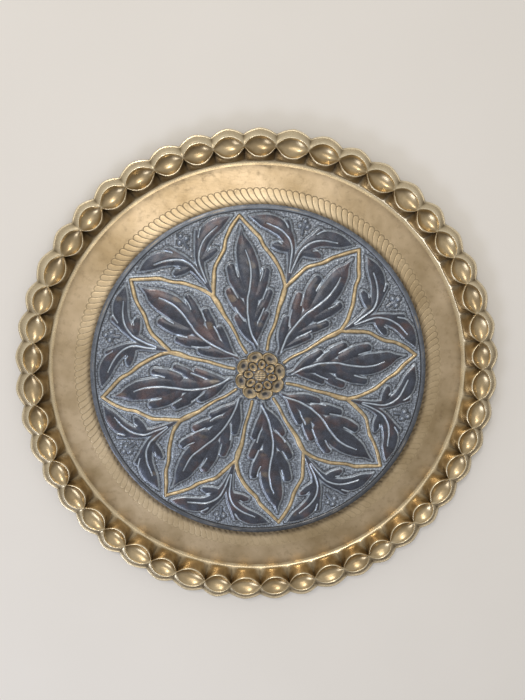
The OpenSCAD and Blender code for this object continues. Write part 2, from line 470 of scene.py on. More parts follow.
@dataclass(frozen=True)
class DarkenedBrass:
    """Chased brass blackened in a liver-of-sulphur bath and rubbed back on its high places.

    The eye sees a blue-black skin with a low gloss, painted glints, pale painted highlight lines, partly
    real polish, where a tool ran, and brass that shows through where hands and cloths reach.
    """

    depth: Darkening
    skin: str = "#2B2F3B"
    skin_light: str = "#424A5A"
    # colour of the painted glints and painted highlight lines
    glint: str = "#CBD9E8"
    metal: str = "#E2CDA4"
    metal_dark: str = "#B59E78"
    copper: str = "#80594A"
    copper_share: float = 0.0
    roughness: float = 0.4
    grit: float = 0.9
    glint_share: float = 0.3
    # colour of dirt, patina in slots and pits, and painted shade
    grime: str = "#101013"
    wax: float = 0.7
    wax_roughness: float = 0.2

    def build(self) -> bpy.types.Material:
        """Makes the material: patina clouds, painted glints on the grit, painted highlight lines, rubbed
        brass, then dirt and painted shade.
        """
        material, tree, shader, place = start_finish(self.depth.value)
        cloud = spread(tree, noise(tree, place, 9.0, 5.0, 0.6), 0.35, 0.7)
        colour = blend(tree, cloud, linear(self.skin), linear(self.skin_light))
        warm = spread(tree, noise(tree, place, 26.0, 4.0, 0.6), 0.5, 0.68, 0.0, self.copper_share)
        colour = blend(tree, warm, colour, linear(self.copper))
        grit = noise(tree, place, self.grit, 2.0, 0.6)
        # painted glints: specks of the glint colour where the grit noise is high
        painted_glints = spread(tree, grit, 0.56, 0.74, 0.0, self.glint_share)
        colour = blend(tree, painted_glints, colour, linear(self.glint))
        break_up = spread(tree, noise(tree, place, 6.0, 4.0, 0.6), 0.32, 0.6, 0.6, 1.0)
        # painted highlight lines, partly real polish, in the glint colour
        line_light = add(tree, "Math", {0: painted(tree, "polish"), 1: break_up}, operation="MULTIPLY")
        colour = blend(tree, line_light.outputs[0], colour, linear(self.glint))
        brass = blend(tree, spread(tree, noise(tree, place, 5.0, 4.0, 0.6), 0.35, 0.7),
                      linear(self.metal), linear(self.metal_dark))
        shown = add(tree, "Math", {0: painted(tree, "rub"), 1: break_up}, operation="MULTIPLY",
                    use_clamp=True).outputs[0]
        colour = blend(tree, shown, colour, brass)
        # dirt, patina and painted shade in the dark colour
        colour = blend(tree, painted(tree, "grime"), colour, linear(self.grime))
        rough = spread(tree, grit, 0.3, 0.7, self.roughness - 0.08, self.roughness + 0.16)
        bump = add(tree, "Bump", {"Height": grit, "Strength": 0.5, "Distance": 0.12 * MM})
        metallic = spread(tree, shown, 0.0, 0.7, 0.55, 1.0)
        shader.inputs["Coat Weight"].default_value = self.wax
        shader.inputs["Coat Roughness"].default_value = self.wax_roughness
        tree.links.new(metallic, shader.inputs["Metallic"])
        tree.links.new(colour, shader.inputs["Base Color"])
        tree.links.new(rough, shader.inputs["Roughness"])
        tree.links.new(bump.outputs[0], shader.inputs["Normal"])
        return material


@dataclass(frozen=True)
class StudioPaint:
    """Pale matt paint of the studio floor."""

    colour: str = "#E8E5E0"
    shade: str = "#DEDBD5"
    roughness: float = 0.75

    def build(self) -> bpy.types.Material:
        """Makes the paint with a faint cloudiness."""
        material, tree, shader, place = start_finish("studio_paint")
        cloud = spread(tree, noise(tree, place, 160.0), 0.3, 0.7, 0.0, 0.25)
        colour = blend(tree, cloud, linear(self.colour), linear(self.shade))
        tree.links.new(colour, shader.inputs["Base Color"])
        shader.inputs["Roughness"].default_value = self.roughness
        return material


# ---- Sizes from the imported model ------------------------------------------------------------


@dataclass(frozen=True)
class TraySizes:
    """Radii and heights in millimetres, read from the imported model's own boxes."""

    sheet: float
    rim_h: float
    outer_r: float
    floor_r: float
    band_r: float
    border_r: float
    ground_r: float
    edge_z: float
    roll_d: float

    @classmethod
    def from_frame(cls) -> "TraySizes":
        """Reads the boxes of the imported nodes."""
        roll_low, roll_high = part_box("rolled_edge")
        return cls(
            sheet=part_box("plain_floor")[1].z / MM,
            rim_h=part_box("scalloped_rim")[1].z / MM,
            outer_r=max(roll_high.x, roll_high.y, -roll_low.x, -roll_low.y) / MM,
            floor_r=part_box("plain_floor")[1].x / MM,
            band_r=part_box("chased_band")[1].x / MM,
            border_r=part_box("border_ring")[1].x / MM,
            ground_r=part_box("medallion_ground")[1].x / MM,
            edge_z=roll_low.z / MM,
            roll_d=(roll_high.z - roll_low.z) / MM,
        )

    def floor_wave(self, x: Array, y: Array) -> Array:
        """Slow unevenness of the beaten floor in mm, gone at the medallion and at the wall."""
        r = np.hypot(x, y)
        start = smooth(r, self.border_r, self.border_r + 6.0)
        end = 1.0 - smooth(r, self.floor_r - 8.0, self.floor_r)
        return start * end * (0.16 * wander(x, y, 55.0, 11) + 0.035 * wander(x, y, 9.0, 12, 12))


def around(turn: Array) -> tuple[Array, Array]:
    """Unit direction of each angle, given in degrees anticlockwise from +Y."""
    angle = np.radians(turn + 90.0)
    return np.cos(angle), np.sin(angle)


# ---- Scalloped rim --------------------------------------------------------------------------


# Knots of the rim's profile that lie on the inner and on the outer lip of the cup
LIP_IN_KNOT, LIP_OUT_KNOT = 7, 17


@dataclass
class ScallopedRim:
    """Wall, dished lobes and rolled edge, beaten over a stake by hand so that no two lobes match."""

    sizes: TraySizes
    lobes: int = 47
    lobe_reach: float = 18.5
    cup_w: float = 21.0
    cup_shift: float = 0.5
    cup_depth: float = 6.3
    wall_run: float = 13.0
    low_wall: float = 0.3
    facet_run: float = 9.5
    edge_notch: float = 6.0
    stations: int = 20
    bead_sides: int = 12
    depth_range: Point = (0.82, 1.12)
    lean_range: Point = (-0.5, 0.4)
    reach_range: Point = (0.0, 0.9)
    dent_h: float = 0.042
    lip_half: float = 1.2
    # angle round the tray where the painted shade on the wall is strongest
    darkest_turn: float = 20.0
    seed: int = 5

    def lobe_parameters(self) -> tuple[Array, Array, Array]:
        """Angle in degrees, place across its lobe from 0 to 1, and lobe number of every station.

        Stations crowd towards the creases: place = 0.4 s + 0.3 (1 - cos(pi s)).
        """
        s = np.arange(self.stations) / self.stations
        place = 0.4 * s + 0.3 * (1.0 - np.cos(np.pi * s))
        rng = np.random.default_rng(self.seed)
        starts = np.arange(self.lobes) + rng.uniform(-0.05, 0.05, self.lobes)
        widths = np.diff(np.append(starts, starts[0] + self.lobes))
        turn = (starts[:, None] + widths[:, None] * place[None, :]) * 360.0 / self.lobes
        number = np.repeat(np.arange(self.lobes), self.stations)
        return turn.ravel(), np.tile(place, self.lobes), number

    def lobe_differences(self, number: Array, place: Array) -> list[Array]:
        """Depth share, lean and shortfall of the lobe at every station, drawn once per lobe."""
        rng = np.random.default_rng(self.seed + 1)
        drawn = [rng.uniform(low, high, self.lobes) for low, high in
                 (self.depth_range, self.lean_range, self.reach_range)]
        return [self.shared(value, number, place) for value in drawn]

    def edge_radius(self, crease: Array, reach: Array) -> Array:
        """Radius of the edge's centre line: a soft pointed arch over each lobe."""
        full = self.sizes.outer_r - self.sizes.roll_d / 2.0
        return full - reach - self.edge_notch * np.power(crease, 1.7)

    def profile(self, crease: Array, depth: Array, lean: Array, reach: Array) -> Array:
        """Knots of the visible side from the floor over the cup to the edge.

        Args:
            crease: 0 at the middle of a lobe and 1 at a crease.
            depth: this lobe's share of the full cup depth.
            lean: how far this lobe's cup stands in or out, in millimetres.
            reach: how far this lobe's edge falls short of the outer radius, in millimetres.

        Returns:
            Array of stations x knots x 2: radius and height in millimetres.
        """
        size = self.sizes
        full = 1.0 - 0.93 * crease**2.3
        foot = size.outer_r - self.lobe_reach - self.wall_run
        middle = foot + self.wall_run + (lean - self.cup_shift) * full
        half, dip = self.cup_w / 2.0 * full, self.cup_depth * full * depth
        base = size.sheet + 0.0 * crease
        top = size.rim_h - 0.1 - 0.5 * (1.0 - depth)
        inner, outer = middle - half, middle + half
        wall, rise = inner - foot, top - base
        half_way = foot + self.low_wall * wall + crease**2 * (self.facet_run - self.low_wall * wall)
        belly = 0.6 * full
        edge = self.edge_radius(crease, reach)
        edge_top = size.edge_z + size.roll_d * 0.8
        fall, out = top - edge_top, edge - outer
        knots = [
            (size.floor_r + 0.0 * crease, base),
            (size.floor_r + 0.55 * (foot - size.floor_r) + 0.0 * crease, base + 0.1),
            (foot + 0.3 + 0.0 * crease, base + 0.9),
            (foot + 0.6 + self.facet_run / 3.0 * crease**2 - belly / 3.0, base + 0.19 * rise),
            (half_way - belly, base + 0.5 * rise),
            (0.4 * half_way + 0.6 * inner - 0.8 * belly, base + 0.8 * rise),
            (inner - 0.45, top - 0.9),
            (inner - 0.1, top - 0.15),
            (inner + 0.8 * full, top),
        ]
        across_cup = (-0.83, -0.6, -0.3, 0.0, 0.3, 0.6, 0.83)
        knots += [(middle + half * v, top - dip * (1.0 - v * v)) for v in across_cup]
        knots += [
            (outer - 0.8 * full, top),
            (outer + 0.1, top - 0.1),
            (outer + 0.6, top - 0.5),
            (outer + out * 0.4, top - fall * 0.3),
            (outer + out * 0.8, top - fall * 0.72),
            (edge - 0.2, edge_top + 0.0 * crease),
        ]
        return np.stack([np.stack(knot, axis=-1) for knot in knots], axis=1)

    def shell(self) -> Skin:
        """Closed sheet of the rim: the visible side, and a hidden side one sheet thickness away."""
        turn, place, number = self.lobe_parameters()
        crease = np.abs(2.0 * place - 1.0)
        depth, lean, reach = self.lobe_differences(number, place)
        per_span = (1, 2, 3, 3, 3, 3, 2, 2, 3, 3, 3, 3, 3, 3, 3, 3, 2, 2, 2, 3, 3)
        knots = self.profile(crease, depth, lean, reach)
        weights = curve_weights(knots.shape[1], per_span)
        front = np.einsum("pk,skc->spc", weights, knots)
        x, y = around(turn)
        dents = wander(front[..., 0] * x[:, None], front[..., 0] * y[:, None], 9.0, 31, 12)
        calm = smooth(front[..., 0], self.sizes.floor_r, self.sizes.floor_r + 5.0)
        front[..., 1] += self.dent_h * dents * calm
        front[..., 1] = np.minimum(front[..., 1], self.sizes.rim_h)
        kept = np.append(np.arange(front.shape[1] - 1, 0, -2), 0)
        back = self.hidden_side(front)[:, kept]
        profile = np.concatenate([front, back], axis=1)
        radius, height = profile[..., 0], profile[..., 1]
        points = np.stack([radius * x[:, None], radius * y[:, None], height], axis=-1)
        return ring_skin(points, self.paint(front, back, crease, turn, knots))

    def shared(self, value: Array, number: Array, place: Array) -> Array:
        """A lobe's own value at its middle, blended to the mean of two neighbours at a crease."""
        before, after = np.roll(value, 1)[number], np.roll(value, -1)[number]
        own = value[number]
        side = np.where(place < 0.5, before, after)
        far = np.abs(2.0 * place - 1.0) ** 2
        return own * (1.0 - far / 2.0) + side * far / 2.0

    def hidden_side(self, front: Array) -> Array:
        """Underside of the sheet: each point moved back along its profile's normal."""
        along = np.gradient(front, axis=1)
        length = np.maximum(np.hypot(along[..., 0], along[..., 1]), 1e-6)
        normal = np.stack([along[..., 1], -along[..., 0]], axis=-1) / length[..., None]
        back = front + normal * self.sizes.sheet
        pinch = self.sizes.outer_r - self.lobe_reach
        side = np.sign(front[..., 0] - pinch)
        room = np.abs(front[..., 0] - pinch)
        back[..., 0] = pinch + side * np.clip(side * (back[..., 0] - pinch), 0.0, room + self.sizes.sheet)
        back[:, :2, 1] = 0.0
        back[..., 1] = np.maximum(back[..., 1], 0.0)
        return back

    def paint(self, front: Array, back: Array, crease: Array, turn: Array, knots: Array) -> dict[str, Array]:
        """Painted shade on the wall, strongest near the top, and in the dishes, darker creases, and painted
        highlights, partly real rubbing, on the two lips of each cup, the apron and the cove.
        """
        lip_in = knots[:, LIP_IN_KNOT, None, 0] + 0.4
        lip_out = knots[:, LIP_OUT_KNOT, None, 0] - 0.4
        r, height = front[..., 0], front[..., 1]
        high = smooth(height, self.sizes.rim_h - 3.0, self.sizes.rim_h - 0.4)
        # painted highlight, partly real rubbing, along both lips of each cup
        lips = 1.4 * (ridge(r - lip_in, self.lip_half) + ridge(r - lip_out, self.lip_half))
        # share of painted shade on the wall round the tray, largest at the darkest turn near the top
        far = 0.55 + 0.45 * np.cos(np.radians(turn - self.darkest_turn))[:, None]
        wall = (r < lip_in - 1.0).astype(float)
        apron = (r > lip_out + 1.0).astype(float)
        base = self.sizes.sheet
        # darker along the creases between lobes
        seam = np.power(crease[:, None], 9.0) * (1.0 - high) * smooth(height, base + 1.0, base + 3.0)
        foot_r = self.sizes.outer_r - self.lobe_reach - self.wall_run
        # painted highlight in the cove at the foot of the wall
        cove = ridge(r - foot_r + 1.0, 2.4) * wall * (1.0 - smooth(height, base + 1.5, base + 4.0))
        # the apron gets a painted highlight too
        rub = np.clip(np.clip(lips, 0.0, 1.0) * high + 0.45 * apron + 0.45 * cove, 0.0, 1.0)
        # painted shade on the upper wall
        below = wall * smooth(height, base + 0.8, self.sizes.rim_h - 9.0) * (0.05 + 0.4 * far**2)
        # painted shade inside each cup's dish
        dish = (1.0 - wall) * (1.0 - apron) * smooth(self.sizes.rim_h - height, 0.6, 3.5) * 0.12
        grime = np.clip(0.7 * seam + below + dish, 0.0, 1.0)
        floor = smooth(r, self.sizes.floor_r, self.sizes.floor_r + 3.0)
        under = np.zeros(back.shape[:2])
        # the hidden underside is painted evenly darker
        under_dark = 0.25
        return {
            "rub": np.concatenate([rub * (1.0 - seam), under], axis=1),
            "grime": np.concatenate([grime * floor, under + under_dark], axis=1),
        }

    def bead(self) -> Skin:
        """Rolled edge: a round wire-like tube along the arch-shaped edge of the lobes."""
        turn, place, number = self.lobe_parameters()
        reach = self.lobe_differences(number, place)[2]
        crease = np.abs(2.0 * place - 1.0)
        centre = self.edge_radius(crease, reach)
        ring = np.radians(np.arange(self.bead_sides) * 360.0 / self.bead_sides)
        half = self.sizes.roll_d / 2.0
        r = centre[:, None] + half * np.cos(ring)[None, :]
        z = self.sizes.edge_z + half + half * np.sin(ring)[None, :] + np.zeros_like(r)
        x, y = around(turn)
        points = np.stack([r * x[:, None], r * y[:, None], z], axis=-1)
        # painted highlight on the upper and outer side of the bead, partly real rubbing
        rub = 0.9 * smooth(np.sin(ring)[None, :] + 0.6 * np.cos(ring)[None, :], 0.0, 0.8) + np.zeros_like(r)
        # darker towards the creases
        grime = np.power(crease, 7.0)[:, None] * 0.5 + np.zeros_like(r)
        return ring_skin(points, {"rub": rub * (1.0 - grime), "grime": grime})

    def build(self) -> None:
        """Builds the rim and its rolled edge and dresses both."""
        rim_brass = AgedBrass(name="aged_brass_rim", gold="#D2BE99", brown="#AC9774", cloud=24.0,
                              spot=5.0, roughness=0.27, tarnish_share=0.25, grain=0.12).build()
        build_piece("rim_shell", self.shell(), rim_brass, ["scalloped_rim"], 70.0)
        build_piece("rolled_edge_bead", self.bead(), rim_brass, ["rolled_edge"], 70.0)


# ---- Bands of the floor ---------------------------------------------------------------------


@dataclass
class FloorBands:
    """Plain floor, chased band of overlapping crescents and beaded border round the medallion."""

    sizes: TraySizes
    crescents: int = 180
    crescent_lean: float = 1.5
    line_w: float = 0.6
    line_depth: float = 0.2
    swelling_h: float = 0.05
    bead_h: float = 0.55
    bead_half: float = 2.3
    groove_depth: float = 0.3
    # angle round the tray with the least painted shade
    brightest_turn: float = 20.0
    columns: int = 12
    stations: int = 720

    def ring(self, radii: Array, turn: Array, height: Callable[[Array, Array], Array],
             values: Callable[[Array, Array], dict[str, Array]]) -> Skin:
        """Flat ring of sheet between its first and last radius.

        Args:
            radii: radii of the grid in millimetres, from the inside out.
            turn: angles in degrees, stations x radii or stations x 1.
            height: height over the sheet at radius and angle.
            values: painted values at radius and angle.

        Returns:
            The closed ring: the top, and a flat underside at z = 0.
        """
        r = radii[None, :] + 0.0 * turn
        angle = turn + 0.0 * r
        x, y = around(angle)
        top = np.stack([r * x, r * y, self.sizes.sheet + height(r, angle)], axis=-1)
        ends = top[:, [-1, 0]].copy()
        ends[..., 2] = 0.0
        points = np.concatenate([top, ends], axis=1)
        under = np.zeros((len(turn), 2))
        paint = {k: np.concatenate([v, under], axis=1) for k, v in values(r, angle).items()}
        return ring_skin(points, paint)

    def plain_floor(self) -> Skin:
        """Smooth floor between the chased band and the wall, with the slow waves of beating."""
        radii = np.linspace(self.sizes.band_r, self.sizes.floor_r, 16)
        turn = np.arange(self.stations)[:, None] * 360.0 / self.stations

        def height(r: Array, angle: Array) -> Array:
            """Beaten waves of the floor."""
            x, y = around(angle)
            return self.sizes.floor_wave(r * x, r * y)

        def values(r: Array, angle: Array) -> dict[str, Array]:
            """Painted shade that darkens the floor towards the wall."""
            grime = 0.22 * smooth(r, self.sizes.floor_r - 7.0, self.sizes.floor_r)
            return {"rub": 0.0 * r, "grime": grime}

        return self.ring(radii, turn, height, values)

    def crescent_line(self, r: Array, angle: Array) -> tuple[Array, Array]:
        """Distance in mm across the nearest crescent line, and the place along the band.

        The place goes from 0 at the outer arches to 1 at the inner end. A line starts radially
        at its arch and leans ever more, as place squared, towards its inner end.
        """
        inner, outer = self.sizes.border_r, self.sizes.band_r
        place = np.clip((outer - r) / (outer - inner), 0.0, 1.0)
        phase = angle * self.crescents / 360.0 + self.crescent_lean * place**2
        step = 2.0 * math.pi * r / self.crescents
        slope = np.hypot(1.0, 2.0 * self.crescent_lean * place * step / (outer - inner))
        return (phase - np.round(phase)) * step / slope, place

    def cut_line(self, r: Array, angle: Array, half_width: float) -> Array:
        """Chased line of a crescent: a half circle at its outer end and one long side, from 0 to 1.

        The half circle is as wide as the crescent, and its neighbour's side starts where it ends.
        """
        across, along = self.crescent_line(r, angle)
        radius = math.pi * r / self.crescents
        depth = self.sizes.band_r - 0.4 - r
        circle = np.hypot(radius - np.abs(across), radius - depth) - radius
        arch = ridge(circle, half_width) * (depth < radius)
        between = smooth(depth - radius, -0.5, 0.1) * (1.0 - smooth(along, 0.93, 1.0))
        return np.maximum(arch, ridge(across, half_width) * between)

    def wear(self, r: Array, angle: Array) -> Array:
        """How much of the chasing is left: crisp over the top and left, faint at lower right."""
        x, y = around(angle)
        patches = wander(r * x, r * y, 38.0, 21)
        side = np.cos(np.radians(angle - 25.0))
        return np.clip(0.62 + 0.38 * side + 0.18 * patches, 0.12, 1.0)

    def darkening(self, angle: Array) -> Array:
        """How much painted shade falls round the tray: 0 near the top and 1 opposite."""
        return 0.5 - 0.5 * np.cos(np.radians(angle - self.brightest_turn))

    def chased_band(self) -> Skin:
        """Band of overlapping crescents: grooves that end in a row of small arches.

        The grid leans with the crescent lines, so that each groove runs along it.
        """
        inner, outer = self.sizes.border_r, self.sizes.band_r
        place = np.concatenate([np.linspace(0.0, 0.24, 15), np.linspace(0.28, 1.0, 20)])
        radii = (outer - place * (outer - inner))[::-1]
        share = np.arange(self.columns) / self.columns
        crowded = share - 0.06 * np.sin(2.0 * np.pi * share)
        start = (np.arange(self.crescents)[:, None] + crowded[None, :]).ravel()
        lean = self.crescent_lean * place[::-1] ** 2
        turn = (start[:, None] - lean[None, :]) * 360.0 / self.crescents

        def height(r: Array, angle: Array) -> Array:
            """Cut lines, and the slight swelling of each crescent towards one side."""
            across, along = self.crescent_line(r, angle)
            step = 2.0 * math.pi * r / self.crescents
            x, y = around(angle)
            lean_up = np.where(across > 0, across, step + across) / step
            hump = np.sin(np.pi * np.clip(lean_up, 0.0, 1.0))
            swelling = self.swelling_h * hump * smooth(along, 0.02, 0.2)
            ends = smooth(outer - r, 0.0, 0.3) * smooth(r - inner, 0.0, 0.6)
            cut = self.cut_line(r, angle, self.line_w / 2.0)
            left = self.wear(r, angle)
            return left * ends * (swelling - self.line_depth * cut) + self.sizes.floor_wave(r * x, r * y)

        def values(r: Array, angle: Array) -> dict[str, Array]:
            """Dark grooves, patina that creeps out from the border and reaches further in away from the top
            as painted shade, and a painted highlight patch at the top.
            """
            across, _ = self.crescent_line(r, angle)
            x, y = around(angle)
            left = self.wear(r, angle)
            groove = self.cut_line(r, angle, 0.36)
            # the dark fringe is widened away from the top as painted shade
            fringe_r = inner + 2.2 + 2.5 * self.darkening(angle)
            fringe_r += 0.7 * np.abs(wander(r * x, r * y, 5.0, 23))
            fringe = 1.0 - smooth(r, fringe_r - 3.0, fringe_r + 3.0)
            fringe *= 0.8 + 0.2 * ridge(across, 1.2)
            # painted highlight: a lighter patch near the top of the band
            top = ridge(angle - 360.0 * np.round(angle / 360.0), 28.0) * ridge(r - inner - 7.0, 5.0)
            grime = np.maximum(0.75 * groove * left, 0.85 * fringe)
            return {"rub": 0.35 * top * (1.0 - groove), "grime": grime}

        return self.ring(radii, turn, height, values)

    def border(self) -> Skin:
        """Darkened border: a low bead with a chased groove at its inner side."""
        inner, outer = self.sizes.ground_r, self.sizes.border_r
        middle = (inner + outer) / 2.0 + 0.5
        radii = np.linspace(inner, outer, 19)
        turn = np.arange(self.stations * 2)[:, None] * 180.0 / self.stations

        def height(r: Array, angle: Array) -> Array:
            """Low bead, beaten unevenly, with a groove at its inner side."""
            x, y = around(angle)
            uneven = 1.0 + 0.25 * wander(r * x, r * y, 7.0, 41)
            arc = np.clip(1.0 - np.square((r - middle) / self.bead_half), 0.0, 1.0)
            bead = self.bead_h * np.power(arc, 0.8)
            groove = self.groove_depth * ridge(r - inner - 0.7, 0.45) * smooth(r - inner, 0.0, 0.3)
            return bead * uneven - groove

        def values(r: Array, angle: Array) -> dict[str, Array]:
            """Brass rubbed bare on top of the bead here and there, a dark groove line, painted shade that
            grows away from the top, and a pale painted highlight line that fades away from it.
            """
            x, y = around(angle)
            bare = ridge(r - middle, 0.9) * smooth(wander(r * x, r * y, 16.0, 43), 0.1, 1.1)
            line_in = ridge(r - inner - 0.8, 0.4)
            low = self.darkening(angle)
            # painted shade that grows away from the top, on the patina and the dark groove line
            grime = np.clip(0.8 * line_in + 0.35 + 0.4 * low, 0.0, 1.0) * (1.0 - 0.6 * bare)
            # painted highlight on the bead's inner slope, strongest near the top
            pale = 0.5 * ridge(r - middle + 1.2, 0.6) * (1.0 - low)
            return {"rub": 0.45 * bare, "grime": grime, "polish": pale}

        return self.ring(radii, turn, height, values)

    def build(self, ground: bpy.types.Material) -> None:
        """Builds the three rings and dresses them.

        Args:
            ground: the medallion ground's finish, which the border shares.
        """
        floor_brass = AgedBrass().build()
        band_brass = AgedBrass(name="rubbed_brass", gold="#D4C09F", brown="#B19D7C", spot=5.0).build()
        build_piece("plain_floor_sheet", self.plain_floor(), floor_brass, ["plain_floor"])
        build_piece("crescent_band", self.chased_band(), band_brass, ["chased_band"])
        build_piece("border_bead", self.border(), ground, ["border_ring"])


# ---- Motifs of the medallion ----------------------------------------------------------------


class Motif(enum.IntEnum):
    """What a place of the medallion belongs to."""

    GROUND = 0
    OUTLINE = 1
    LEAF = 2
    SPRAY = 3
    FLOWER = 4
    ROSETTE_OUTER = 5
    ROSETTE_INNER = 6
    BUTTON = 7


@dataclass
class Acanthus:
    """Lobed leaf with an S-shaped middle, its base near the rosette and its tip outward (+Y).

    Every finger is a stroke that springs from the middle and ends in a round tip.
    """

    body: Stroke = Stroke(((1, 31, 2.5), (0, 45, 5), (-1, 62, 7.5), (0, 82, 9), (2.5, 102, 11.5),
                           (2.5, 122, 12.5), (0.8, 138, 10), (0, 150, 4.4), (0, 162, 0.7)))
    fingers: tuple[Stroke, ...] = (
        Stroke(((-7, 92, 7), (-13, 106, 7.5), (-15.8, 120, 5.8))),
        Stroke(((-5, 68, 6), (-14.5, 82, 7.5), (-20.5, 94.5, 5.6))),
        Stroke(((0, 38, 3.5), (-9, 53, 6.5), (-15.8, 67, 5.4))),
        Stroke(((8, 88, 7), (15.5, 101, 7), (20.5, 112, 5.4))),
        Stroke(((3, 64, 5.5), (13.5, 77, 6.2), (21, 88.5, 5.2))),
        Stroke(((2, 42, 3.5), (8, 54.5, 5), (14.8, 66.5, 4.6))),
    )
    midrib: Stroke = Stroke(((2.4, 34, 0.5), (-2.8, 50, 0.6), (-4.8, 68, 0.6), (-3.5, 84, 0.6),
                             (0.5, 97, 0.6), (4.4, 113, 0.55), (4.3, 126, 0.45), (2, 137, 0.2)))
    veins: tuple[Stroke, ...] = (
        line((-11, 127), (-11, 118), (-10, 110), half=0.4),
        line((-21, 107), (-18, 98), (-13.5, 88), half=0.4),
        line((-18, 78), (-14, 70), (-9.5, 63), half=0.4),
        line((18, 118), (16.5, 110), (13, 103), half=0.4),
        line((20, 96.5), (17, 90), (13, 83), half=0.4),
        line((13, 73), (10, 67), (7, 61.5), half=0.4),
    )


@dataclass
class HalfSpray:
    """One half leaf of a spray: its body, an upper and a lower finger, its midrib and veins."""

    body: Stroke = Stroke(((1, 104, 1.8), (0.7, 119, 3.6), (-2, 135, 5.2), (-9, 148, 7), (-18, 156.5, 8.6),
                           (-29, 161, 9), (-38, 162, 8), (-47, 162.3, 4.8), (-56, 162.2, 0.8)))
    fingers: tuple[Stroke, ...] = (
        Stroke(((-9, 152, 4), (-14.5, 160, 5), (-17, 165.5, 4.2))),
        Stroke(((-6, 140, 4.5), (-15, 140.8, 6), (-23, 140.3, 3.9))),
    )
    midrib: Stroke = Stroke(((0.8, 117, 0.4), (-2.4, 138, 0.55), (-6.5, 146.5, 0.55), (-13, 152.5, 0.55),
                             (-23, 157, 0.5), (-37, 159.8, 0.25)))
    veins: tuple[Stroke, ...] = (
        line((-23, 168), (-19, 165.5), (-14.5, 161), half=0.4),
        line((-34, 146.5), (-26, 147), (-16, 143.5), half=0.4),
    )

    def mirrored(self) -> "HalfSpray":
        """The half on the other side, a little fuller because it was cut second."""
        def flip(stroke: Stroke) -> Stroke:
            """Mirrors one stroke about the spray's stem, which stands 1.6 mm off the middle."""
            return Stroke(tuple((3.2 - x, y + 0.8 * min(1.0, abs(x) / 20.0), w) for x, y, w in stroke.knots),
                          stroke.per_span)

        return HalfSpray(flip(self.body), tuple(map(flip, self.fingers)), flip(self.midrib),
                         tuple(map(flip, self.veins)))


@dataclass
class PetalOutline:
    """Raised ribs: both sides of a petal in the petal's own place, and the rib up each valley."""

    left: Stroke = Stroke(((0, 172.5, 2.1), (-9.6, 161.5, 2.5), (-17, 150, 2.2), (-21, 139.5, 2.5),
                           (-26.5, 131.5, 2.2), (-32.5, 122.5, 2.4), (-35, 109, 2.5), (-38, 93, 2.7)))
    right: Stroke = Stroke(((0, 172.5, 2.1), (9.8, 159.5, 2.5), (18, 149, 2.4), (22, 138.5, 2.2),
                            (30.5, 125, 2.5), (36, 112, 2.3), (38.4, 103, 2.5), (39.3, 93, 2.8)))
    valley: Stroke = Stroke(((0.4, 30, 2.0), (-0.4, 42, 1.9), (0.8, 60, 2.1), (-0.3, 78, 2.5),
                             (0.6, 92, 3.3), (0.5, 101, 2.8)))


@dataclass
class Rosette:
    """Two rings of eight looped petals about a button with a woven cut."""

    petals: int = 8
    outer_turn: float = 17.9
    inner_turn: float = -4.6
    outer_at: float = 21.2
    outer_half: Point = (9.2, 6.8)
    inner_at: float = 12.6
    inner_half: Point = (4.5, 5.7)
    button_r: float = 7.0
    gap: float = 0.35


@dataclass
class Relief:
    """Heights over the sheet, motif, distance to its outline and painted values at each place."""

    height: Array
    owner: Array
    outline: Array
    values: dict[str, Array]


